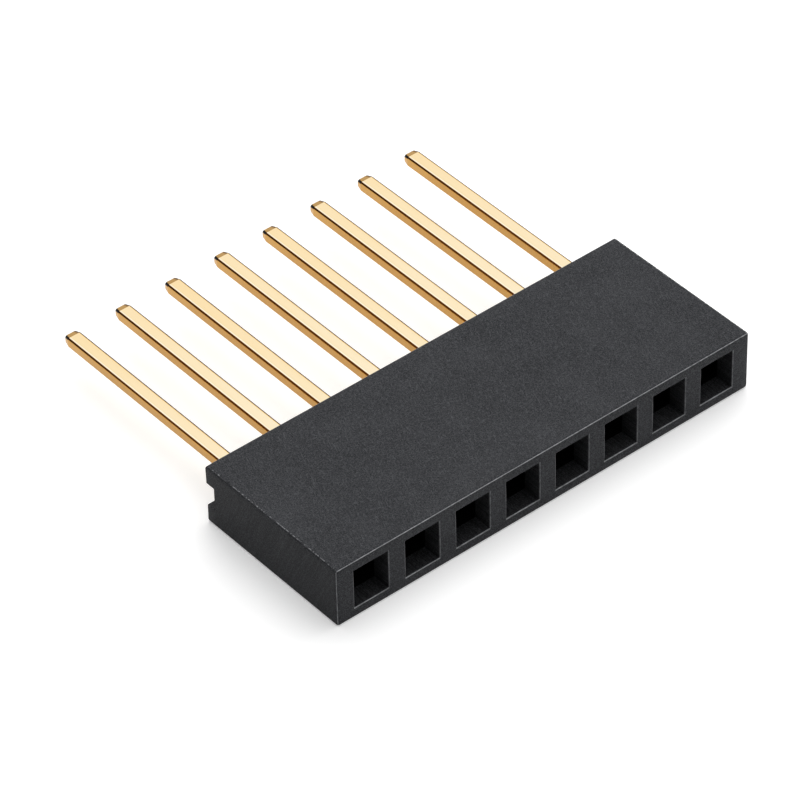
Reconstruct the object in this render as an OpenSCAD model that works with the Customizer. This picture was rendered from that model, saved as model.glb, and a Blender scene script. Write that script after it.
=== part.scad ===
// Female pin header strip: one row of sockets in a moulded housing, with long solder tails.
// It lies on its broad side. +X runs along the row, +Y from the mating face towards the tails,
// +Z up. The origin is the centre of the housing's underside. All sizes are in millimetres.

/* [Row] */
// Distance from one contact to the next
pitch = 2.54; // [2.5:0.01:3]
// Plastic beyond the first and the last window
end_wall = 0.86; // [0.6:0.01:2]

/* [Housing] */
// Depth from the mating face to the seating rails
body_d = 8; // [7.6:0.1:12]
// Thickness, from the underside to the top
body_t = 2.85; // [2.6:0.01:4]
// Rounding of the outer edges
edge_r = 0.12; // [0.04:0.01:0.2]

/* [Sockets] */
// Width of a window, along the row
mouth_w = 1.7; // [1.3:0.05:1.75]
// Height of a window
mouth_h = 1.9; // [1.6:0.05:2]
// Thickness of the front wall that the windows go through
mouth_l = 0.9; // [0.5:0.05:1.4]
// Bevel round the edge of a window
mouth_bevel = 0.05; // [0.02:0.01:0.1]
// How much wider the chamber behind a window is, on each side
lip_w = 0.1; // [0.05:0.01:0.12]
// How much taller the chamber behind a window is, above and below
lip_h = 0.12; // [0.05:0.01:0.15]

/* [Seating groove] */
// Height of the groove between the two seating rails
groove_h = 1.15; // [0.8:0.05:1.5]
// Depth of that groove
groove_d = 0.53; // [0.3:0.01:0.8]
// Bevel along the groove's outer edges
groove_bevel = 0.05; // [0.02:0.01:0.1]

/* [Contact base] */
// Thickness of the strip that the contacts are stamped from
sheet_t = 0.25; // [0.2:0.01:0.28]
// Depth of the keyways in the chamber's side walls, which hold the edges of the base
keyway_d = 0.15; // [0.1:0.01:0.18]
// Length of those keyways, in from the groove's floor
keyway_l = 1.3; // [1.2:0.05:2]
// How far the back of the base lies in from the groove's floor
base_inset = 0.1; // [0.05:0.01:0.25]
// How far the barbs on the base stand out from its edges
barb_h = 0.07; // [0.03:0.01:0.08]
// Length of one barb
barb_l = 0.3; // [0.2:0.01:0.4]
// Clearance round the base in its keyways
fit_gap = 0.01; // [0.005:0.005:0.03]

/* [Contact leaves] */
// Width of a spring leaf at its root
root_w = 1.2; // [0.8:0.05:1.25]
// Width of a spring leaf where it grips the post
grip_w = 0.76; // [0.5:0.02:0.8]
// Width of a spring leaf at its tip
tip_w = 0.64; // [0.4:0.02:0.7]
// Corner cut on each side of a leaf's tip
tip_corner = 0.12; // [0.05:0.01:0.18]
// Free gap between the two leaves where they grip the post
grip_gap = 0.4; // [0.3:0.01:0.5]
// Distance from the mating face to the grip
grip_in = 2.85; // [2.7:0.05:3.2]
// Distance from the mating face to the tips of the leaves
tip_in = 1.95; // [1.8:0.05:2.1]
// Gap between the flared tips, which leads the post in
flare_gap = 1.1; // [0.9:0.05:1.2]
// Room between the widest part of the leaves and the chamber
leaf_room = 0.2; // [0.12:0.01:0.3]
// Length over which a leaf rises from the base
rise_l = 0.8; // [0.7:0.05:1.2]
// Length of the straight stretch where the leaves are widest apart
wide_l = 0.55; // [0.4:0.05:0.7]
// Inner radius of a sharp bend, at the root of a leaf
root_bend_r = 0.2; // [0.1:0.01:0.25]
// Inner radius of a soft bend, at the grip and behind it
grip_bend_r = 0.45; // [0.3:0.01:0.6]

/* [Solder tails] */
// Width of a tail, along the row
tail_w = 0.68; // [0.5:0.01:0.8]
// Length of a tail beyond the seating rails
tail_l = 11; // [3:0.5:16]
// Rounding of a tail's long edges
tail_r = 0.1; // [0.03:0.01:0.14]
// Length of the bevelled point
point_l = 0.25; // [0.1:0.01:0.6]
// How much the point narrows on the left and right
point_in_w = 0.05; // [0.03:0.01:0.2]
// How much the point narrows above and below
point_in_h = 0.05; // [0.03:0.01:0.12]

/* [Hidden] */
NODES = ["housing", "contact_1", "contact_2", "contact_3", "contact_4", "contact_5",
         "contact_6", "contact_7", "contact_8"];
$fn = 48;

// One node is the housing and each of the others is a contact
positions = len(NODES) - 1;
body_l = (positions - 1) * pitch + mouth_w + 2 * end_wall;
mating_y = -body_d / 2;
rear_y = body_d / 2;
mid_z = body_t / 2;

chamber_w = mouth_w + 2 * lip_w;
chamber_h = mouth_h + 2 * lip_h;
chamber_y = mating_y + mouth_l;

groove_y = rear_y - groove_d;
stop_y = groove_y - keyway_l;
keyway_w = chamber_w + 2 * keyway_d;

tail_t = 2 * sheet_t;
base_end_y = groove_y - base_inset;
barb_w = keyway_w - 2 * fit_gap;
base_w = barb_w - 2 * barb_h;
// Corner cut where the base narrows to the tail
shoulder = 0.15;
// The barbs are spread evenly along each edge of the base
barb_count = 2;
barb_space = (base_end_y - shoulder - stop_y - barb_count * barb_l) / (barb_count + 1);

grip_y = mating_y + grip_in;
tip_y = mating_y + tip_in;
tail_end_y = rear_y + tail_l;

// Heights of a leaf's middle line above the middle of the contact
base_z = sheet_t / 2;
wide_z = chamber_h / 2 - leaf_room - sheet_t / 2;
grip_z = (grip_gap + sheet_t) / 2;
flare_z = (flare_gap + sheet_t) / 2;
// Straight run of a leaf in front of the base, and how far it reaches into the base
root_l = 0.2;
overlap = 0.4;
wide_y = stop_y - root_l - rise_l;

// Steps along one bend, and how far a cut runs past the surface it opens
bend_steps = 6;
cut = 0.5;

// A strip bent round a list of corners. Each edge of the strip follows the corners at half
// the thickness, and each bend is a round arc, so that the strip keeps its thickness.
function unit(v) = v / norm(v);
function left_of(v) = [-v[1], v[0]];
function turned(v, a) = [v[0] * cos(a) - v[1] * sin(a), v[0] * sin(a) + v[1] * cos(a)];
function turn(u, v) = atan2(u[0] * v[1] - u[1] * v[0], u * v);

function bend(before, corner, after, radius, side) =
    let (u = unit(corner - before),
         v = unit(after - corner),
         angle = turn(u, v),
         way = sign(angle),
         middle_r = radius + sheet_t / 2,
         start = corner - u * middle_r * tan(abs(angle) / 2),
         centre = start + left_of(u) * way * middle_r)
    [for (k = [0 : bend_steps])
        centre - turned(left_of(u), angle * k / bend_steps) * (way * middle_r - side * sheet_t / 2)];

function strip_edge(corners, radii, side) =
    let (last = len(corners) - 1,
         first_side = left_of(unit(corners[1] - corners[0])),
         last_side = left_of(unit(corners[last] - corners[last - 1])))
    concat([corners[0] + first_side * side * sheet_t / 2],
           [for (i = [1 : last - 1])
               each bend(corners[i - 1], corners[i], corners[i + 1], radii[i - 1], side)],
           [corners[last] + last_side * side * sheet_t / 2]);

function backwards(list) = [for (i = [len(list) - 1 : -1 : 0]) list[i]];

// An outline that is the same on both sides of the middle: one side is given, front to back
function both_sides(edge) = concat(edge, backwards([for (p = edge) [-p[0], p[1]]]));

module bent_strip(corners, radii) {
    polygon(concat(strip_edge(corners, radii, 1), backwards(strip_edge(corners, radii, -1))));
}

module rounded_rectangle(w, h, r) {
    square([w - 2 * r, h], center = true);
    square([w, h - 2 * r], center = true);
    for (x = [-1, 1], y = [-1, 1])
        translate([x * (w / 2 - r), y * (h / 2 - r)]) circle(r);
}

// Outlines are drawn flat and then extruded about the middle: (X, Y) outlines upwards,
// (Z, Y) outlines sideways, (Y, Z) sections along the row and (X, Z) sections along the depth
module upwards(height) {
    linear_extrude(height, center = true) children();
}

module sideways(width) {
    rotate([0, 90, 0]) upwards(width) children();
}

module along_row(length) {
    rotate([90, 0, 90]) linear_extrude(length, center = true) children();
}

module along_depth(depth) {
    rotate([90, 0, 0]) linear_extrude(depth, center = true) children();
}

// The outer block, rounded on all of its edges
module block() {
    intersection() {
        upwards(body_t) rounded_rectangle(body_l, body_d, edge_r);
        along_row(body_l) rounded_rectangle(body_d, body_t, edge_r);
        along_depth(body_d) rounded_rectangle(body_l, body_t, edge_r);
    }
}

// Straight through the front wall, and bevelled at the mating face
module window_outline(width) {
    polygon(both_sides([[width / 2 + mouth_bevel + cut, mating_y - cut],
                        [width / 2, mating_y + mouth_bevel],
                        [width / 2, chamber_y + cut]]));
}

module window() {
    intersection() {
        upwards(body_t) window_outline(mouth_w);
        sideways(pitch) window_outline(mouth_h);
    }
}

// The chamber is open at the back, where the contact was pushed in
module chamber() {
    depth = rear_y + cut - chamber_y;
    translate([0, chamber_y + depth / 2, 0]) cube([chamber_w, depth, chamber_h], center = true);
}

module keyways() {
    depth = rear_y + cut - stop_y;
    translate([0, stop_y + depth / 2, 0])
        cube([keyway_w, depth, tail_t + 2 * fit_gap], center = true);
}

// The groove runs out through both ends of the housing
module groove() {
    sideways(body_l + 2 * cut)
        polygon(both_sides([[groove_h / 2, groove_y],
                            [groove_h / 2, rear_y - groove_bevel],
                            [groove_h / 2 + groove_bevel + cut, rear_y + cut]]));
}

module at_position(number) {
    translate([(number - (positions + 1) / 2) * pitch, 0, mid_z]) children();
}

module housing() {
    color([0.18, 0.19, 0.2])
    difference() {
        translate([0, 0, mid_z]) block();
        translate([0, 0, mid_z]) groove();
        for (number = [1 : positions])
            at_position(number) {
                window();
                chamber();
                keyways();
            }
    }
}

// The base lies flat in the keyways, and the barbs on its edges bite into them
module base() {
    half = base_w / 2;
    barbs = [for (k = [1 : barb_count])
        let (y = stop_y + k * barb_space + (k - 1) * barb_l)
        each [[half, y], [half + barb_h, y + barb_l], [half, y + barb_l]]];
    upwards(tail_t)
        polygon(both_sides(concat([[half, stop_y]], barbs,
                                  [[half, base_end_y - shoulder],
                                   [half - shoulder, base_end_y]])));
}

// A leaf from above: it narrows from the base to the grip, and its tip has cut corners
module leaf_outline() {
    polygon(both_sides([[tip_w / 2 - 2 * tip_corner, tip_y - tip_corner],
                        [tip_w / 2, tip_y + tip_corner],
                        [grip_w / 2, grip_y],
                        [root_w / 2, wide_y],
                        [root_w / 2, stop_y + overlap]]));
}

// A spring leaf rises from the base, runs along the chamber, comes in to grip the post and
// flares out again at its tip
module leaf() {
    corners = [[stop_y + overlap, base_z], [stop_y - root_l, base_z], [wide_y, wide_z],
               [wide_y - wide_l, wide_z], [grip_y, grip_z], [tip_y, flare_z]];
    radii = [root_bend_r, root_bend_r, grip_bend_r, grip_bend_r];
    intersection() {
        along_row(root_w) bent_strip(corners, radii);
        upwards(chamber_h) leaf_outline();
    }
}

// The bevels of the point, from above or from the side. They run on past the tail's long
// faces, so that only the point is cut.
module point_outline(width, narrowing) {
    polygon(both_sides([[width / 2 + narrowing, base_end_y - overlap - cut],
                        [width / 2 + narrowing, tail_end_y - 2 * point_l],
                        [width / 2 - narrowing, tail_end_y]]));
}

// The tail is the strip folded double and pressed square, with rounded long edges
module tail() {
    length = tail_end_y - base_end_y + overlap;
    intersection() {
        translate([0, tail_end_y - length / 2, 0])
            along_depth(length) rounded_rectangle(tail_w, tail_t, tail_r);
        upwards(2 * tail_t) point_outline(tail_w, point_in_w);
        sideways(2 * tail_w) point_outline(tail_t, point_in_h);
    }
}

module contact(number) {
    color([0.93, 0.74, 0.4])
    at_position(number) {
        base();
        tail();
        leaf();
        mirror([0, 0, 1]) leaf();
    }
}

housing();
contact(1);  // contact_1
contact(2);  // contact_2
contact(3);  // contact_3
contact(4);  // contact_4
contact(5);  // contact_5
contact(6);  // contact_6
contact(7);  // contact_7
contact(8);  // contact_8
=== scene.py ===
import itertools
import math

import bmesh
import bpy
from mathutils import Matrix, Vector


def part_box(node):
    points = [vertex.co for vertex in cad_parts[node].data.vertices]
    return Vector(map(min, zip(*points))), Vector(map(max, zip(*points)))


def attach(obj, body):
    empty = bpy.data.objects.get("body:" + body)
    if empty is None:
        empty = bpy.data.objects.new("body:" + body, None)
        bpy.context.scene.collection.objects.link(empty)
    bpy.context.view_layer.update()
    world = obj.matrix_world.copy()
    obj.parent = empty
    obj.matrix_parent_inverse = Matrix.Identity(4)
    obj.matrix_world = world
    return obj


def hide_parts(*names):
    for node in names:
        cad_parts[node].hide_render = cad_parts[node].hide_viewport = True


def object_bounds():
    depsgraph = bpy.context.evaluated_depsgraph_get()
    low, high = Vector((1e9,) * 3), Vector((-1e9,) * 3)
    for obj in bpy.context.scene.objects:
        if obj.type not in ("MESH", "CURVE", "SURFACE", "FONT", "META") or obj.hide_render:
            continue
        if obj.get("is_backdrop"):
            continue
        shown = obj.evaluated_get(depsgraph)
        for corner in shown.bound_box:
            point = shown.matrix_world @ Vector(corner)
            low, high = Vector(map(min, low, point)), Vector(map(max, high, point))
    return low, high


# Female pin header strip, lying on its broad side: a moulded housing with a row of sockets in
# its front, and one gold-plated contact behind each socket, with a long solder tail.
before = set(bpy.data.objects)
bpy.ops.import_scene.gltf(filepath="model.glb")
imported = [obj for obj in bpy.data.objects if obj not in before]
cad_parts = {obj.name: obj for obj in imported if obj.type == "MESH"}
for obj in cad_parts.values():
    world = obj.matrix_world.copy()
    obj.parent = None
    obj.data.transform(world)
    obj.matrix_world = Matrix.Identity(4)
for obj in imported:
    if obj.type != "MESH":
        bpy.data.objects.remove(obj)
cad_low, cad_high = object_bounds()
MM = 0.001

# Camera. It looks down on the strip from the left of the mating face, through a long lens from
# some twenty centimetres away, so that parallel edges stay nearly parallel in the picture.
CAMERA_TARGET = Vector((-1.415, 3.27, 1.425)) * MM
CAMERA_DISTANCE = 193.7 * MM
CAMERA_AZIMUTH = math.radians(-38.869)
CAMERA_ELEVATION = math.radians(40.996)
CAMERA_ROLL = math.radians(-1.531)
CAMERA_LENS = 220.4
SENSOR_WIDTH = 36

camera = bpy.data.objects.new("camera", bpy.data.cameras.new("camera"))
bpy.context.scene.collection.objects.link(camera)
bpy.context.scene.camera = camera
camera.data.lens = CAMERA_LENS
camera.data.sensor_width = SENSOR_WIDTH
camera.data.clip_start = 10 * MM
camera.data.clip_end = 5000 * MM
back = Vector((math.sin(CAMERA_AZIMUTH) * math.cos(CAMERA_ELEVATION),
               -math.cos(CAMERA_AZIMUTH) * math.cos(CAMERA_ELEVATION),
               math.sin(CAMERA_ELEVATION)))
camera.matrix_world = (Matrix.Translation(CAMERA_TARGET + back * CAMERA_DISTANCE)
                       @ back.to_track_quat("Z", "Y").to_matrix().to_4x4()
                       @ Matrix.Rotation(CAMERA_ROLL, 4, "Z"))
bpy.context.scene.view_settings.view_transform = "Standard"


# Studio. A white sweep under an even white sky, with one large softbox to the right of the tails.
# Black cotton cloths hang all round and keep low light off the strip's sides.
FLOOR_SIZE = 1200 * MM
FLOOR_GAP = 0.005 * MM
FLOOR_WHITE = "#F6F6F6"
FLOOR_GLOW = 0.3
SKY_LEVEL = 1.04
SOFTBOX_DISTANCE = 260 * MM
SOFTBOX_SIZE = 380 * MM
SOFTBOX_AZIMUTH = math.radians(58)
SOFTBOX_ELEVATION = math.radians(47)
SOFTBOX_POWER = 0.5
CLOTH_DISTANCE = 235 * MM
CLOTH_STEP = 5
CLOTH_FADE = 10
CLOTH_BLACK = "#0C0C0C"
# Each row is an azimuth from +Y towards +X, and how high the cloths reach there, in degrees. Their
# upper edge is a thin voile, which fades out over the last few degrees
CLOTH_EDGE = [(-180, 42), (-120, 48), (-85, 52), (-60, 50), (-35, 46), (-10, 28), (25, 26),
              (45, 28), (120, 28), (180, 42)]


def linear(colour):
    """An sRGB hex colour as the linear RGBA that a shader takes"""
    channels = [int(colour[i:i + 2], 16) / 255 for i in (1, 3, 5)]
    return [c / 12.92 if c <= 0.04045 else ((c + 0.055) / 1.055) ** 2.4 for c in channels] + [1]


def add(tree, kind, inputs=None, **settings):
    """Adds a node with its settings. An input is named, or numbered among those in use, and
    takes a value, a socket or a node, whose first output is meant"""
    node = tree.nodes.new(kind)
    for name, value in settings.items():
        setattr(node, name, value)
    in_use = [socket for socket in node.inputs if socket.enabled]
    for key, value in (inputs or {}).items():
        socket = in_use[key] if isinstance(key, int) else next(s for s in in_use if s.name == key)
        if isinstance(value, bpy.types.Node):
            value = next(s for s in value.outputs if s.enabled)
        if isinstance(value, bpy.types.NodeSocket):
            tree.links.new(value, socket)
        else:
            socket.default_value = value
    return node


def new_material(name):
    """An empty material and its node tree"""
    material = bpy.data.materials.new(name)
    material.use_nodes = True
    material.node_tree.nodes.clear()
    return material, material.node_tree


def seen_directly(tree):
    """One where the camera looks, straight or by way of metal, and nought elsewhere"""
    path = add(tree, "ShaderNodeLightPath")
    seen = path.outputs["Is Camera Ray"]
    for kind in ("Is Glossy Ray", "Is Transmission Ray"):
        seen = add(tree, "ShaderNodeMath", {0: seen, 1: path.outputs[kind]}, operation="MAXIMUM")
    return seen


def new_piece(name, mesh):
    """A new object at the origin that shows a mesh"""
    piece = bpy.data.objects.new(name, mesh)
    bpy.context.scene.collection.objects.link(piece)
    return piece


def between(value, rows):
    """A size that runs evenly from row to row of a list of places and sizes"""
    for (a, low), (b, high) in zip(rows, rows[1:]):
        if value <= b:
            return low + (high - low) * max(value - a, 0) / (b - a)
    return rows[-1][1]


# White sweep: matt, and a little of its own light where it is seen, which keeps the
# shadows soft and the ground white without more light on the strip
sweep_paper, tree = new_material("white_paper")
paper = add(tree, "ShaderNodeBsdfDiffuse", {"Color": linear(FLOOR_WHITE)})
share = add(tree, "ShaderNodeMath", {0: seen_directly(tree), 1: FLOOR_GLOW}, operation="MULTIPLY")
glow = add(tree, "ShaderNodeEmission", {"Color": linear("#FFFFFF"), "Strength": share})
both = add(tree, "ShaderNodeAddShader", {0: paper, 1: glow})
add(tree, "ShaderNodeOutputMaterial", {"Surface": both})

mesh = bpy.data.meshes.new("sweep")
half = FLOOR_SIZE / 2
level = cad_low.z - FLOOR_GAP
mesh.from_pydata([(-half, -half, level), (half, -half, level), (half, half, level),
                  (-half, half, level)], [], [(0, 1, 2, 3)])
mesh.materials.append(sweep_paper)
new_piece("sweep", mesh)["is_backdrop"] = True

# Black cloths: matt, and seen neither by the camera nor in the gold. At each azimuth they have
# a point on the floor, one where the voile begins and one at its edge
cloth, tree = new_material("black_cotton_cloth")
matt = add(tree, "ShaderNodeBsdfDiffuse", {"Color": linear(CLOTH_BLACK)})
cover = add(tree, "ShaderNodeAttribute", attribute_name="cover").outputs["Fac"]
woven = add(tree, "ShaderNodeMixShader",
            {0: cover, 1: add(tree, "ShaderNodeBsdfTransparent"), 2: matt})
add(tree, "ShaderNodeOutputMaterial", {"Surface": woven})

points = []
azimuths = range(CLOTH_EDGE[0][0], CLOTH_EDGE[-1][0] + 1, CLOTH_STEP)
for azimuth in azimuths:
    x = math.sin(math.radians(azimuth)) * CLOTH_DISTANCE
    y = math.cos(math.radians(azimuth)) * CLOTH_DISTANCE
    height = between(azimuth, CLOTH_EDGE)
    points += [(x, y, level)]
    points += [(x, y, math.tan(math.radians(up)) * CLOTH_DISTANCE)
               for up in (height - CLOTH_FADE, height)]
mesh = bpy.data.meshes.new("cloths")
mesh.from_pydata(points, [], [(3 * i + n, 3 * i + n + 1, 3 * i + n + 4, 3 * i + n + 3)
                              for i in range(len(azimuths) - 1) for n in (0, 1)])
weave = mesh.attributes.new("cover", "FLOAT", "POINT")
weave.data.foreach_set("value", [1, 1, 0] * len(azimuths))
mesh.materials.append(cloth)
cloths = new_piece("cloths", mesh)
cloths.visible_camera = False
cloths.visible_glossy = False
cloths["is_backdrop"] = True

softbox = bpy.data.objects.new("softbox", bpy.data.lights.new("softbox", "AREA"))
bpy.context.scene.collection.objects.link(softbox)
softbox.data.shape = "DISK"
softbox.data.size = SOFTBOX_SIZE
softbox.data.energy = SOFTBOX_POWER
away = Vector((math.sin(SOFTBOX_AZIMUTH) * math.cos(SOFTBOX_ELEVATION),
               math.cos(SOFTBOX_AZIMUTH) * math.cos(SOFTBOX_ELEVATION),
               math.sin(SOFTBOX_ELEVATION)))
softbox.location = away * SOFTBOX_DISTANCE
softbox.rotation_euler = away.to_track_quat("Z", "Y").to_euler()
softbox.visible_glossy = False

sky = bpy.data.worlds.new("studio")
bpy.context.scene.world = sky
sky.use_nodes = True
sky.node_tree.nodes.clear()
tree = sky.node_tree
strength = add(tree, "ShaderNodeMapRange", {"Value": seen_directly(tree), "To Min": SKY_LEVEL,
                                            "To Max": 1})
light = add(tree, "ShaderNodeBackground", {"Color": linear("#FFFFFF"), "Strength": strength})
add(tree, "ShaderNodeOutputWorld", {"Surface": light})


# Housing. One moulding in black glass-filled thermoplastic, shot in a two-part tool: a slice
# with one socket repeats along the row, and an end wall closes it on the left and right. The
# contacts are pushed into it from behind, into keyways at the back of each chamber.
POSITIONS = sum(name.startswith("contact_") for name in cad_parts)
PITCH = 2.54 * MM
body_low, body_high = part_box("housing")
MIDDLE_Z = (body_low.z + body_high.z) / 2
EDGE_ROUND = 0.12 * MM
EDGE_STEPS = 4
MOUTH_W = 1.7 * MM
MOUTH_H = 1.9 * MM
MOUTH_DEPTH = 0.9 * MM
MOUTH_BEVEL = 0.05 * MM
LIP_W = 0.1 * MM
LIP_H = 0.12 * MM
CHAMBER_W = MOUTH_W + 2 * LIP_W
CHAMBER_H = MOUTH_H + 2 * LIP_H
GROOVE_H = 1.15 * MM
GROOVE_DEPTH = 0.53 * MM
GROOVE_BEVEL = 0.05 * MM
KEYWAY_DEPTH = 0.15 * MM
KEYWAY_W = CHAMBER_W + 2 * KEYWAY_DEPTH
KEYWAY_LENGTH = 1.3 * MM
FIT_GAP = 0.01 * MM
STRIP_T = 0.25 * MM
SHARP_ANGLE = math.radians(50)

chamber_y = body_low.y + MOUTH_DEPTH
groove_y = body_high.y - GROOVE_DEPTH
stop_y = groove_y - KEYWAY_LENGTH
row_end = POSITIONS * PITCH / 2


def across(size, middle=0):
    """Both ends of a size that is centred on a middle"""
    return (middle - size / 2, middle + size / 2)


# What is cored out of the slice, as spans along X, Y and Z
socket_cores = [
    (across(MOUTH_W), (body_low.y, chamber_y), across(MOUTH_H, MIDDLE_Z)),
    (across(CHAMBER_W), (chamber_y, body_high.y), across(CHAMBER_H, MIDDLE_Z)),
    (across(KEYWAY_W), (stop_y, body_high.y), across(2 * (STRIP_T + FIT_GAP), MIDDLE_Z)),
]
groove_core = (across(2 * row_end), (groove_y, body_high.y), across(GROOVE_H, MIDDLE_Z))


def moulded_skin(name, span_x, cores, open_x):
    """The skin of a block with box-shaped cores: a face wherever plastic meets air. The planes
    listed in open_x get no face, because the next slice goes on there"""
    spans = [span_x, (body_low.y, body_high.y), (body_low.z, body_high.z)]
    planes = [sorted({round(p, 8) for box in [spans, *cores] for p in box[axis]
                      if span_x[0] <= p <= span_x[1] or axis})
              for axis in range(3)]

    def plastic(cell):
        if any(i < 0 or i > len(planes[axis]) - 2 for axis, i in enumerate(cell)):
            return False
        middle = [(planes[axis][i] + planes[axis][i + 1]) / 2 for axis, i in enumerate(cell)]
        return not any(all(low < m < high for m, (low, high) in zip(middle, core))
                       for core in cores)

    skin = bmesh.new()
    corners = {}
    for cell in itertools.product(*(range(len(p) - 1) for p in planes)):
        if not plastic(cell):
            continue
        for axis, side in itertools.product(range(3), (0, 1)):
            beyond = list(cell)
            beyond[axis] += 2 * side - 1
            plane = planes[axis][cell[axis] + side]
            if plastic(beyond) or (axis == 0 and any(abs(plane - x) < FIT_GAP for x in open_x)):
                continue
            face = []
            for a, b in ((0, 0), (1, 0), (1, 1), (0, 1)):
                index = list(cell)
                index[axis] += side
                index[(axis + 1) % 3] += a
                index[(axis + 2) % 3] += b
                index = tuple(index)
                if index not in corners:
                    corners[index] = skin.verts.new([planes[n][i] for n, i in enumerate(index)])
                face.append(corners[index])
            skin.faces.new(face if side else face[::-1])
    mesh = bpy.data.meshes.new(name)
    skin.to_mesh(mesh)
    skin.free()
    return mesh


def new_row_tree():
    """Repeats a template along the row, with a step of one pitch, and joins it to the ends"""
    tree = bpy.data.node_groups.new("row_of_positions", "GeometryNodeTree")
    tree.interface.new_socket("Template", in_out="INPUT", socket_type="NodeSocketGeometry")
    for name, kind in (("Ends", "Object"), ("Count", "Int"), ("Pitch", "Float"),
                       ("Weld Distance", "Float"), ("Seed", "Int"), ("Material", "Material")):
        tree.interface.new_socket(name, in_out="INPUT", socket_type="NodeSocket" + kind)
    tree.interface.new_socket("Row", in_out="OUTPUT", socket_type="NodeSocketGeometry")
    given = add(tree, "NodeGroupInput").outputs
    gaps = add(tree, "ShaderNodeMath", {0: given["Count"], 1: 1}, operation="SUBTRACT")
    start = add(tree, "ShaderNodeMath", {0: gaps, 1: given["Pitch"]}, operation="MULTIPLY")
    start = add(tree, "ShaderNodeMath", {0: start, 1: -0.5}, operation="MULTIPLY")
    line = add(tree, "GeometryNodeMeshLine",
               {"Count": given["Count"],
                "Start Location": add(tree, "ShaderNodeCombineXYZ", {"X": start}),
                "Offset": add(tree, "ShaderNodeCombineXYZ", {"X": given["Pitch"]})})
    copies = add(tree, "GeometryNodeInstanceOnPoints",
                 {"Points": line, "Instance": given["Template"]})
    chance = add(tree, "FunctionNodeRandomValue", {"Seed": given["Seed"]}, data_type="FLOAT")
    marked = add(tree, "GeometryNodeStoreNamedAttribute",
                 {"Geometry": copies, "Name": "chance", "Value": chance},
                 data_type="FLOAT", domain="INSTANCE")
    real = add(tree, "GeometryNodeRealizeInstances", {"Geometry": marked})
    ends = add(tree, "GeometryNodeObjectInfo", {"Object": given["Ends"]})
    joined = add(tree, "GeometryNodeJoinGeometry", {"Geometry": real})
    tree.links.new(ends.outputs["Geometry"], joined.inputs["Geometry"])
    welded = add(tree, "GeometryNodeMergeByDistance",
                 {"Geometry": joined, "Distance": given["Weld Distance"]})
    painted = add(tree, "GeometryNodeSetMaterial",
                  {"Geometry": welded, "Material": given["Material"]})
    add(tree, "NodeGroupOutput", {"Row": painted})
    return tree


def run_tree(piece, tree, **values):
    """Gives a piece a tree as its modifier, with its inputs by name"""
    modifier = piece.modifiers.new(tree.name, "NODES")
    modifier.node_group = tree
    names = {item.name: item.identifier for item in tree.interface.items_tree}
    for name, value in values.items():
        modifier[names[name.replace("_", " ")]] = value


def plain_mesh(piece):
    """What a piece looks like with its modifiers, as a mesh of its own, in place of them"""
    bpy.context.view_layer.update()
    graph = bpy.context.evaluated_depsgraph_get()
    mesh = bpy.data.meshes.new_from_object(piece.evaluated_get(graph))
    piece.modifiers.clear()
    piece.data = mesh
    return mesh


def scrap(*pieces):
    """Removes objects that were only there to be copied"""
    for piece in pieces:
        bpy.data.objects.remove(piece)


# Black moulded plastic: dull, with the fine grain of a spark-eroded tool, so that its top looks
# clouded and not quite even.
# At the edges it goes grey, partly where it is rubbed and partly as a painted highlight; in its
# hollows it is darkened with painted shade.
housing_plastic, tree = new_material("black_moulded_thermoplastic")
PLASTIC_DARK = "#202123"
PLASTIC_LIGHT = "#515255"
# The sawn ends' dark streaks, and also the painted shade in the mouths, the chambers and along the
# end edges
PLASTIC_DEEP_AND_SHADE = "#070708"
# The grey of rubbed edges, also used as a painted highlight on them
WEAR_AND_HIGHLIGHT_GREY = "#BEBFC2"
FIBRE_L = 0.28 * MM
FIBRE_W = 0.031 * MM
GRAIN = 0.05 * MM
CLOUD = 1.8 * MM
FIBRE_SHARE = 0.4
GRAIN_SHARE = 0.9
CLOUD_SHARE = 0.2
RELIEF = 0.02 * MM
CHIP = 0.13 * MM
STREAK_L = 2.5 * MM
STREAK_W = 0.06 * MM
STREAK_LEAN = math.radians(25)
# How each set of fibres lies, as turns about X, Y and Z in degrees
FIBRE_TURNS = [(0, 20, 15), (30, 0, 70), (0, 35, 125), (0, 75, 0), (70, 10, 160)]

place = add(tree, "ShaderNodeTexCoord")
here = place.outputs["Object"]


def stretched(tree, place, turn, length, width):
    """Noise that is drawn out along one direction"""
    laid = add(tree, "ShaderNodeMapping", {"Vector": place, "Rotation": turn,
                                           "Scale": (length, width, width)}, vector_type="TEXTURE")
    return add(tree, "ShaderNodeTexNoise", {"Vector": laid, "Scale": 1, "Detail": 1})


# Short glass fibres lie every way under the skin and show as fine pale dashes
fibres = 0
for turn in FIBRE_TURNS:
    strands = stretched(tree, here, [math.radians(angle) for angle in turn], FIBRE_L, FIBRE_W)
    strands = add(tree, "ShaderNodeMapRange", {"Value": strands, "From Min": 0.63,
                                               "From Max": 0.7})
    fibres = add(tree, "ShaderNodeMath", {0: strands, 1: fibres}, operation="MAXIMUM")
grain = add(tree, "ShaderNodeTexNoise", {"Vector": here, "Scale": 1 / GRAIN, "Detail": 2,
                                         "Roughness": 0.6, "Distortion": 1})
cloud = add(tree, "ShaderNodeTexNoise", {"Vector": here, "Scale": 1 / CLOUD, "Detail": 3})
shade = add(tree, "ShaderNodeMath", {0: grain, 1: GRAIN_SHARE}, operation="MULTIPLY")
for part, share in ((cloud, CLOUD_SHARE), (fibres, FIBRE_SHARE)):
    shade = add(tree, "ShaderNodeMath", {0: part, 1: share, 2: shade}, operation="MULTIPLY_ADD")
shade = add(tree, "ShaderNodeMapRange", {"Value": shade, "From Min": 0.395, "From Max": 0.915})
body = add(tree, "ShaderNodeMix", {"Factor": shade, "A": linear(PLASTIC_DARK),
                                   "B": linear(PLASTIC_LIGHT)}, data_type="RGBA")

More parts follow.
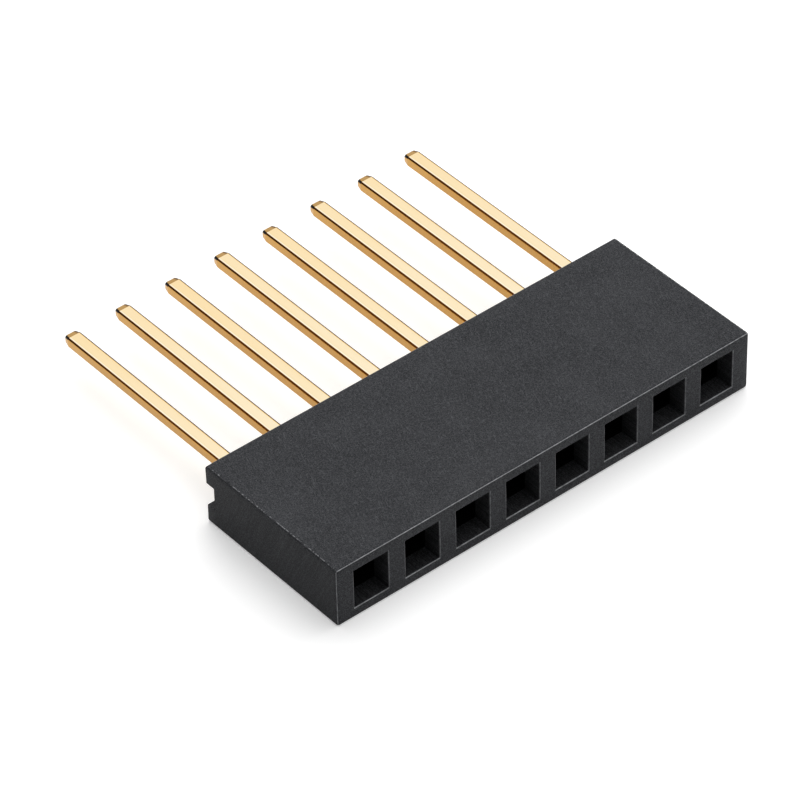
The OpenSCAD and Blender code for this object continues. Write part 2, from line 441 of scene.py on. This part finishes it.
# The ends are sawn from a longer strip: darker, with streaks that lean the way the blade went
facing = add(tree, "ShaderNodeSeparateXYZ", {0: place.outputs["Normal"]}).outputs
lean = add(tree, "ShaderNodeVectorMath", {0: place.outputs["Normal"]}, operation="ABSOLUTE")
lean = add(tree, "ShaderNodeSeparateXYZ", {0: lean}).outputs
sawn = add(tree, "ShaderNodeMapRange", {"Value": lean["X"], "From Min": 0.9, "From Max": 0.98})
streaks = stretched(tree, here, (0, math.radians(90) - STREAK_LEAN, math.radians(90)), STREAK_L,
                    STREAK_W)
streaks = add(tree, "ShaderNodeMapRange", {"Value": streaks, "From Min": 0.3, "From Max": 0.7,
                                           "To Min": 0.45, "To Max": 0.2})
streaks = add(tree, "ShaderNodeMath", {0: streaks, 1: sawn}, operation="MULTIPLY")
body = add(tree, "ShaderNodeMix", {"Factor": streaks, "A": body, "B": linear(PLASTIC_DEEP_AND_SHADE)},
           data_type="RGBA")

# The windows' own edges are small, and get a painted highlight right across, least on their right
at = add(tree, "ShaderNodeSeparateXYZ", {0: here}).outputs
in_row = 1
for axis, reach, middle in (("X", row_end, 0), ("Z", CHAMBER_H / 2 + FIT_GAP, MIDDLE_Z)):
    inside = add(tree, "ShaderNodeMath", {0: at[axis], 1: middle, 2: reach}, operation="COMPARE")
    in_row = add(tree, "ShaderNodeMath", {0: inside, 1: in_row}, operation="MULTIPLY")

# Rubbed edges, partly wear and partly a painted highlight: the normal leans away from all three
# axes only on the rounded edges.
# The upright ones get less of it than those that run along
flat = add(tree, "ShaderNodeMath", {0: lean["X"], 1: lean["Y"]}, operation="MAXIMUM")
flat = add(tree, "ShaderNodeMath", {0: flat, 1: lean["Z"]}, operation="MAXIMUM")
edge = add(tree, "ShaderNodeMapRange", {"Value": flat, "From Min": 0.83, "From Max": 0.74})
window_highlight = add(tree, "ShaderNodeMapRange", {"Value": flat, "From Min": 0.99,
                                               "From Max": 0.94})
dimmer_on_right = add(tree, "ShaderNodeMapRange", {"Value": facing["X"], "From Min": -0.1,
                                          "From Max": -0.5, "To Min": 1, "To Max": 0.35})
for share in (in_row, dimmer_on_right):
    window_highlight = add(tree, "ShaderNodeMath", {0: window_highlight, 1: share}, operation="MULTIPLY")
edge = add(tree, "ShaderNodeMath", {0: edge, 1: window_highlight}, operation="MAXIMUM")
chips = add(tree, "ShaderNodeTexNoise", {"Vector": here, "Scale": 1 / CHIP, "Detail": 3,
                                         "Roughness": 0.7})
wear_and_highlight = add(tree, "ShaderNodeMapRange", {"Value": chips, "From Min": 0.3, "From Max": 0.65,
                                          "To Min": 0.3, "To Max": 1})
upright = add(tree, "ShaderNodeMapRange", {"Value": lean["Z"], "From Min": 0.2, "From Max": 0.5,
                                           "To Min": 0.6})
for share in (edge, upright):
    wear_and_highlight = add(tree, "ShaderNodeMath", {0: wear_and_highlight, 1: share}, operation="MULTIPLY")

# Along the sawn ends the edges are hardly rubbed: a painted line of shade, and a few chips above it
end_edge = add(tree, "ShaderNodeMath", {0: lean["X"], 1: lean["Z"]}, operation="MULTIPLY")
on_side = add(tree, "ShaderNodeMapRange", {"Value": end_edge, "From Min": 0.15, "From Max": 0.3,
                                           "To Min": 1, "To Max": 0})
wear_and_highlight = add(tree, "ShaderNodeMath", {0: wear_and_highlight, 1: on_side}, operation="MULTIPLY")
painted_edge_shade = add(tree, "ShaderNodeMapRange", {"Value": end_edge, "From Min": 0.45, "From Max": 0.49,
                                        "To Max": 0.4})
body = add(tree, "ShaderNodeMix", {"Factor": painted_edge_shade, "A": body, "B": linear(PLASTIC_DEEP_AND_SHADE)},
           data_type="RGBA")
chipped = add(tree, "ShaderNodeMapRange", {"Value": chips, "From Min": 0.5, "From Max": 0.58,
                                           "To Max": 0.55})
for value, low, high in ((end_edge, 0.1, 0.2), (end_edge, 0.42, 0.3), (lean["Z"], 0.8, 0.9)):
    share = add(tree, "ShaderNodeMapRange", {"Value": value, "From Min": low, "From Max": high})
    chipped = add(tree, "ShaderNodeMath", {0: chipped, 1: share}, operation="MULTIPLY")
pale = add(tree, "ShaderNodeMath", {0: wear_and_highlight, 1: chipped}, operation="MAXIMUM")
body = add(tree, "ShaderNodeMix", {"Factor": pale, "A": body, "B": linear(WEAR_AND_HIGHLIGHT_GREY)},
           data_type="RGBA")

# The cores leave the mouths smooth, with fine marks along the way they are drawn out; the mouths
# are darkened with painted shade that those marks vary, and the chambers behind are painted black
# as shade
drawn = stretched(tree, here, (0, 0, math.radians(90)), STREAK_L, STREAK_W)
drawn = add(tree, "ShaderNodeMapRange", {"Value": drawn, "From Min": 0.35, "From Max": 0.65,
                                         "To Min": 0.15, "To Max": 0.55})
mouth_shade_with_marks = add(tree, "ShaderNodeMapRange", {"Value": at["Y"], "From Min": body_low.y + MOUTH_BEVEL,
                                          "From Max": body_low.y + 2 * MOUTH_BEVEL})
mouth_shade_with_marks = add(tree, "ShaderNodeMath", {0: mouth_shade_with_marks, 1: drawn}, operation="MULTIPLY")
painted_recess_shade = add(tree, "ShaderNodeMapRange", {"Value": at["Y"], "From Min": chamber_y - FIT_GAP,
                                        "From Max": chamber_y})
painted_recess_shade = add(tree, "ShaderNodeMath", {0: painted_recess_shade, 1: mouth_shade_with_marks}, operation="MAXIMUM")
painted_recess_shade = add(tree, "ShaderNodeMath", {0: painted_recess_shade, 1: in_row}, operation="MULTIPLY")
body = add(tree, "ShaderNodeMix", {"Factor": painted_recess_shade, "A": body, "B": linear(PLASTIC_DEEP_AND_SHADE)},
           data_type="RGBA")
shine = add(tree, "ShaderNodeMapRange", {"Value": painted_recess_shade, "To Min": 0.06, "To Max": 0.01})
relief = add(tree, "ShaderNodeMath", {0: grain, 1: fibres}, operation="ADD")
bump = add(tree, "ShaderNodeBump", {"Height": relief, "Strength": 0.5, "Distance": RELIEF})
plastic = add(tree, "ShaderNodeBsdfPrincipled",
              {"Base Color": body, "Roughness": 0.55, "IOR": 1.5, "Specular IOR Level": shine,
               "Normal": bump})
add(tree, "ShaderNodeOutputMaterial", {"Surface": plastic})

row_tree = new_row_tree()
slice_mesh = moulded_skin("socket_slice", across(PITCH), socket_cores + [groove_core],
                          across(PITCH))
end_walls = new_piece("end_walls", bpy.data.meshes.new("end_walls"))
walls = bmesh.new()
for span in ((body_low.x, -row_end), (row_end, body_high.x)):
    whole_groove = (span, groove_core[1], groove_core[2])
    walls.from_mesh(moulded_skin("end_wall", span, [whole_groove], (-row_end, row_end)))
walls.to_mesh(end_walls.data)
walls.free()

housing = new_piece("housing_moulding", slice_mesh)
run_tree(housing, row_tree, Ends=end_walls, Count=POSITIONS, Pitch=PITCH,
         Weld_Distance=FIT_GAP / 2, Seed=1, Material=housing_plastic)
mesh = plain_mesh(housing)
scrap(end_walls)

# The tool's own edges are rounded: broadly round the outside, and finely at the mouths and
# along the groove. The weight of an edge is its rounding as a share of the broad one.
skin = bmesh.new()
skin.from_mesh(mesh)
bmesh.ops.recalc_face_normals(skin, faces=skin.faces)
weight = skin.edges.layers.float.new("bevel_weight_edge")
for edge in skin.edges:
    if len(edge.link_faces) != 2 or not edge.is_convex:
        continue
    if edge.calc_face_angle() < math.radians(45):
        continue
    middle = (edge.verts[0].co + edge.verts[1].co) / 2
    outside = sum(min(abs(middle[n] - body_low[n]), abs(middle[n] - body_high[n])) < FIT_GAP / 2
                  for n in range(3))
    if outside > 1:
        edge[weight] = 1
    elif abs(middle.y - body_low.y) < FIT_GAP / 2:
        edge[weight] = MOUTH_BEVEL / EDGE_ROUND
    elif abs(middle.y - body_high.y) < FIT_GAP / 2:
        edge[weight] = GROOVE_BEVEL / EDGE_ROUND
skin.to_mesh(mesh)
skin.free()

rounding = housing.modifiers.new("rounding", "BEVEL")
rounding.width = EDGE_ROUND
rounding.limit_method = "WEIGHT"
rounding.segments = EDGE_STEPS
mesh = plain_mesh(housing)
mesh.shade_smooth()
mesh.set_sharp_from_angle(angle=SHARP_ANGLE)
even = housing.modifiers.new("even_faces", "WEIGHTED_NORMAL")
even.keep_sharp = True
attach(housing, "root")
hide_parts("housing")


# Contacts. Each is stamped from phosphor bronze strip, folded double for its base and tail, and
# plated with gold. The barbed base sits in the keyways, two bowed leaves grip the post from
# above and below, and the tail is a rectangular bar with soft long edges and a bevelled point.
BASE_INSET = 0.1 * MM
BARB_COUNT = 2
BARB_H = 0.07 * MM
BARB_L = 0.3 * MM
SHOULDER = 0.15 * MM
ROOT_W = 1.2 * MM
GRIP_W = 0.76 * MM
TIP_W = 0.64 * MM
TIP_CORNER = 0.12 * MM
GRIP_GAP = 0.4 * MM
GRIP_IN = 2.85 * MM
TIP_IN = 1.95 * MM
FLARE_GAP = 1.1 * MM
LEAF_ROOM = 0.2 * MM
RISE_L = 0.8 * MM
WIDE_L = 0.55 * MM
ROOT_BEND = 0.2 * MM
GRIP_BEND = 0.45 * MM
ROOT_L = 0.2 * MM
OVERLAP = 0.4 * MM
BEND_STEPS = 8
STRIP_EDGE = 0.025 * MM
STRIP_STEPS = 2
TAIL_W = 0.68 * MM
TAIL_ROUND = 0.1 * MM
TAIL_STEPS = 6
POINT_L = 0.25 * MM
POINT_IN = 0.05 * MM
POINT_ROUND = 0.05 * MM

base_end_y = groove_y - BASE_INSET
barb_half = KEYWAY_W / 2 - FIT_GAP
base_half = barb_half - BARB_H
tail_end_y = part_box("contact_1")[1].y


def rounded_section(half_w, half_t, radius, steps):
    """The outline of a bar's section, as offsets across and up"""
    outline = []
    for quarter, (a, b) in enumerate(((1, 1), (-1, 1), (-1, -1), (1, -1))):
        for step in range(steps + 1):
            angle = math.radians(90) * (quarter + step / steps)
            outline.append((a * (half_w - radius) + radius * math.cos(angle),
                            b * (half_t - radius) + radius * math.sin(angle)))
    return outline


def lofted(name, stations, radius, steps):
    """A closed bar through stations of y, z, slope, half width and half thickness"""
    bar = bmesh.new()
    rings = []
    for y, z, slope, half_w, half_t in stations:
        rings.append([bar.verts.new((u, y - v * math.sin(slope), z + v * math.cos(slope)))
                      for u, v in rounded_section(half_w, half_t, radius, steps)])
    for ring, following in zip(rings, rings[1:]):
        for n in range(len(ring)):
            m = (n + 1) % len(ring)
            bar.faces.new((ring[n], following[n], following[m], ring[m]))
    bar.faces.new(rings[0])
    bar.faces.new(rings[-1][::-1])
    bmesh.ops.recalc_face_normals(bar, faces=bar.faces)
    mesh = bpy.data.meshes.new(name)
    bar.to_mesh(mesh)
    bar.free()
    return new_piece(name, mesh)


def bent_path(corners, radii):
    """Points and slopes along a strip that is bent round each inner corner in a round arc"""
    path = []
    for before, corner, after, radius in zip(corners, corners[1:], corners[2:], radii):
        along = (corner - before).normalized()
        onward = (after - corner).normalized()
        turn = math.atan2(along.cross(onward), along.dot(onward))
        middle_r = radius + STRIP_T / 2
        arm = Vector((-along.y, along.x)) * math.copysign(middle_r, turn)
        centre = corner - along * middle_r * math.tan(abs(turn) / 2) + arm
        for step in range(BEND_STEPS + 1):
            spin = Matrix.Rotation(turn * step / BEND_STEPS, 2)
            path.append((centre - spin @ arm, spin @ along))
    first = (corners[0], (corners[1] - corners[0]).normalized())
    last = (corners[-1], (corners[-1] - corners[-2]).normalized())
    return [first, *path, last]


# Base: a flat plate whose barbs bite into the keyways
space = (base_end_y - SHOULDER - stop_y - BARB_COUNT * BARB_L) / (BARB_COUNT + 1)
outline = [(stop_y, base_half)]
for barb in range(BARB_COUNT):
    foot = stop_y + space + barb * (space + BARB_L)
    outline += [(foot, base_half), (foot + BARB_L, barb_half), (foot + BARB_L, base_half)]
outline += [(base_end_y - SHOULDER, base_half), (base_end_y, base_half - SHOULDER)]
base = lofted("base", [(y, 0, 0, w, STRIP_T) for y, w in outline], STRIP_EDGE, STRIP_STEPS)

# Leaf: it rises from the base, runs along the chamber, comes in to the grip and flares out
grip_y = body_low.y + GRIP_IN
tip_y = body_low.y + TIP_IN
wide_y = stop_y - ROOT_L - RISE_L
wide_z = CHAMBER_H / 2 - LEAF_ROOM - STRIP_T / 2
corners = [Vector(point) for point in (
    (stop_y + OVERLAP, STRIP_T / 2), (stop_y - ROOT_L, STRIP_T / 2), (wide_y, wide_z),
    (wide_y - WIDE_L, wide_z), (grip_y, (GRIP_GAP + STRIP_T) / 2),
    (tip_y, (FLARE_GAP + STRIP_T) / 2))]
widths = [(tip_y, TIP_W / 2 - TIP_CORNER), (tip_y + TIP_CORNER, TIP_W / 2), (grip_y, GRIP_W / 2),
          (wide_y, ROOT_W / 2), (stop_y, ROOT_W / 2)]
path = bent_path(corners, (ROOT_BEND, ROOT_BEND, GRIP_BEND, GRIP_BEND))
flare = path[-1][1]
path.insert(-1, (corners[-1] - flare * TIP_CORNER / abs(flare.x), flare))
leaf = lofted("leaf", [(at.x, at.y, math.atan2(slope.y, slope.x), between(at.x, widths),
                        STRIP_T / 2) for at, slope in path], STRIP_EDGE, STRIP_STEPS)

# Tail: pressed to a rectangle, and bevelled towards its point. Each row is a place along Y and
# how far the sides have come in there, as a multiple of POINT_IN
half_w = TAIL_W / 2
point_y = tail_end_y - POINT_L
outline = [(base_end_y - OVERLAP, 0), (point_y - POINT_ROUND, 0), (point_y - POINT_ROUND / 2, 0.06),
           (point_y, 0.15), (point_y + POINT_ROUND, 0.35), (tail_end_y - 1.5 * POINT_ROUND, 0.85),
           (tail_end_y - POINT_ROUND, 0.96), (tail_end_y - POINT_ROUND / 3, 1.2), (tail_end_y, 1.9)]
tail = lofted("tail", [(y, 0, 0, half_w - share * POINT_IN, STRIP_T - share * POINT_IN)
                       for y, share in outline], TAIL_ROUND, TAIL_STEPS)


def new_contact_tree():
    """Fuses a tail, a base and two leaves, one of them mirrored, and lifts them into place"""
    tree = bpy.data.node_groups.new("contact", "GeometryNodeTree")
    tree.interface.new_socket("Tail", in_out="INPUT", socket_type="NodeSocketGeometry")
    for name, kind in (("Base", "Object"), ("Leaf", "Object"), ("Height", "Float")):
        tree.interface.new_socket(name, in_out="INPUT", socket_type="NodeSocket" + kind)
    tree.interface.new_socket("Contact", in_out="OUTPUT", socket_type="NodeSocketGeometry")
    given = add(tree, "NodeGroupInput").outputs
    base = add(tree, "GeometryNodeObjectInfo", {"Object": given["Base"]}).outputs["Geometry"]
    upper = add(tree, "GeometryNodeObjectInfo", {"Object": given["Leaf"]}).outputs["Geometry"]
    lower = add(tree, "GeometryNodeTransform", {"Geometry": upper, "Scale": (1, 1, -1)})
    lower = add(tree, "GeometryNodeFlipFaces", {"Mesh": lower})
    fused = add(tree, "GeometryNodeMeshBoolean", {"Mesh": given["Tail"]}, operation="UNION",
                solver="EXACT")
    for part in (base, upper, lower.outputs["Mesh"]):
        tree.links.new(part, fused.inputs["Mesh"])
    lift = add(tree, "ShaderNodeCombineXYZ", {"Z": given["Height"]})
    lifted = add(tree, "GeometryNodeTransform", {"Geometry": fused, "Translation": lift})
    add(tree, "NodeGroupOutput", {"Contact": lifted})
    return tree


# Gold plating over nickel: a bright metal, almost a mirror on the rolled faces of the strip, and
# warmer towards the point, where the bath plates it thickest. The sheared faces are rougher and
# deeper, partly their own thinner plating and partly a painted reflection of the shaded floor; the
# rounded edges between them carry a painted brown reflection, and the corners of the point a
# painted, nearly black one.
gold, tree = new_material("bright_gold_plating")
GOLD_ROLLED = "#FEEAC2"
GOLD_CLOUD = "#FEF0D2"
# Painted light on the gold: a pale highlight, dark reflections on the rounded edges and at the
# corners of the point, the sheared faces' own deeper colour with a painted reflection of the shaded
# floor, and a painted reflection on the point's bevel
GOLD_PAINTED_HIGHLIGHT = "#FFF8E2"
GOLD_DARK_REFLECTION = "#4E2300"
GOLD_CORNER_REFLECTION = "#0A0400"
GOLD_SHEARED_AND_REFLECTED = "#BA8D49"
GOLD_POINT_REFLECTION = "#BC9456"
# Warmer plating, also used as a painted reflection along the right edge of the rolled faces
GOLD_WARM_AND_REFLECTED = "#FBD896"
WARM_SHARE = 0.2
POINT_WARMTH = 0.4
CLOUD_W = 0.5 * MM
CLOUD_L = 2.5 * MM
BAND_W = 0.05 * MM
flat_half = half_w - TAIL_ROUND
place = add(tree, "ShaderNodeTexCoord")
at = add(tree, "ShaderNodeSeparateXYZ", {0: place.outputs["Object"]}).outputs
aside = add(tree, "ShaderNodeMath", {0: at["X"], 1: PITCH, 2: 0}, operation="WRAP")
aside = add(tree, "ShaderNodeMath", {0: aside, 1: PITCH / 2}, operation="SUBTRACT")
facing = add(tree, "ShaderNodeSeparateXYZ", {0: place.outputs["Normal"]}).outputs
sideways = add(tree, "ShaderNodeMath", {0: facing["X"]}, operation="ABSOLUTE")
cloud = stretched(tree, place.outputs["Object"], (0, 0, math.radians(90)), CLOUD_L, CLOUD_W)
colour = add(tree, "ShaderNodeMix", {"Factor": cloud, "A": linear(GOLD_ROLLED),
                                     "B": linear(GOLD_CLOUD)}, data_type="RGBA")
chance = add(tree, "ShaderNodeAttribute", attribute_name="chance").outputs["Fac"]
thick = add(tree, "ShaderNodeMapRange", {"Value": at["Y"], "From Min": body_high.y,
                                         "From Max": tail_end_y, "To Max": POINT_WARMTH})
warmth = add(tree, "ShaderNodeMath", {0: chance, 1: WARM_SHARE, 2: thick}, operation="MULTIPLY_ADD")
colour = add(tree, "ShaderNodeMix", {"Factor": warmth, "A": colour, "B": linear(GOLD_WARM_AND_REFLECTED)},
             data_type="RGBA")


def banded(tree, colour, other, value, rise, fall=None):
    """A colour that gives way to another where a value lies between a rise and a fall"""
    share = add(tree, "ShaderNodeMapRange", {"Value": value, "From Min": rise[0],
                                             "From Max": rise[1]}, interpolation_type="SMOOTHSTEP")
    if fall:
        ebb = add(tree, "ShaderNodeMapRange", {"Value": value, "From Min": fall[1],
                                               "From Max": fall[0]},
                  interpolation_type="SMOOTHSTEP")
        share = add(tree, "ShaderNodeMath", {0: share, 1: ebb}, operation="MULTIPLY")
    return add(tree, "ShaderNodeMix", {"Factor": share, "A": colour, "B": linear(other)},
               data_type="RGBA")


# A painted highlight runs along the left edge of the rolled faces, and a warmer painted reflection
# along the right. The other bands, painted reflections with some of the sheared faces' own colour,
# go by which way the surface faces, and at the corners of the point it faces all three ways at once
colour = banded(tree, colour, GOLD_PAINTED_HIGHLIGHT, aside, (BAND_W - flat_half, -flat_half))
colour = banded(tree, colour, GOLD_WARM_AND_REFLECTED, aside, (flat_half - BAND_W, flat_half))
colour = banded(tree, colour, GOLD_POINT_REFLECTION, facing["Y"], (0.04, 0.12))
colour = banded(tree, colour, GOLD_SHEARED_AND_REFLECTED, sideways, (0.12, 0.26))
colour = banded(tree, colour, GOLD_DARK_REFLECTION, sideways, (0.26, 0.38), (0.82, 0.9))
colour = banded(tree, colour, GOLD_DARK_REFLECTION, facing["X"], (0.02, 0.08), (0.84, 0.92))
corner = add(tree, "ShaderNodeMath", {0: sideways, 1: facing["Y"]}, operation="MULTIPLY")
upward = add(tree, "ShaderNodeMath", {0: facing["Z"]}, operation="ABSOLUTE")
corner = add(tree, "ShaderNodeMath", {0: corner, 1: upward}, operation="MULTIPLY")
colour = banded(tree, colour, GOLD_CORNER_REFLECTION, corner, (0.02, 0.05))
rough = add(tree, "ShaderNodeMapRange", {"Value": sideways, "From Min": 0.9, "To Min": 0.12,
                                         "To Max": 0.26})
plating = add(tree, "ShaderNodeBsdfPrincipled", {"Base Color": colour, "Metallic": 1,
                                                 "Roughness": rough})
add(tree, "ShaderNodeOutputMaterial", {"Surface": plating})

contacts = new_piece("contacts", tail.data)
run_tree(contacts, new_contact_tree(), Base=base, Leaf=leaf, Height=MIDDLE_Z)
run_tree(contacts, row_tree, Count=POSITIONS, Pitch=PITCH, Weld_Distance=FIT_GAP / 100, Seed=4,
         Material=gold)
mesh = plain_mesh(contacts)
scrap(tail, base, leaf)
mesh.shade_smooth()
mesh.set_sharp_from_angle(angle=SHARP_ANGLE)
even = contacts.modifiers.new("even_faces", "WEIGHTED_NORMAL")
even.keep_sharp = True
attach(contacts, "root")
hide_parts(*(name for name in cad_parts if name.startswith("contact_")))

# The finished model's box; the CAD box was taken at the start
low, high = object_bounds()
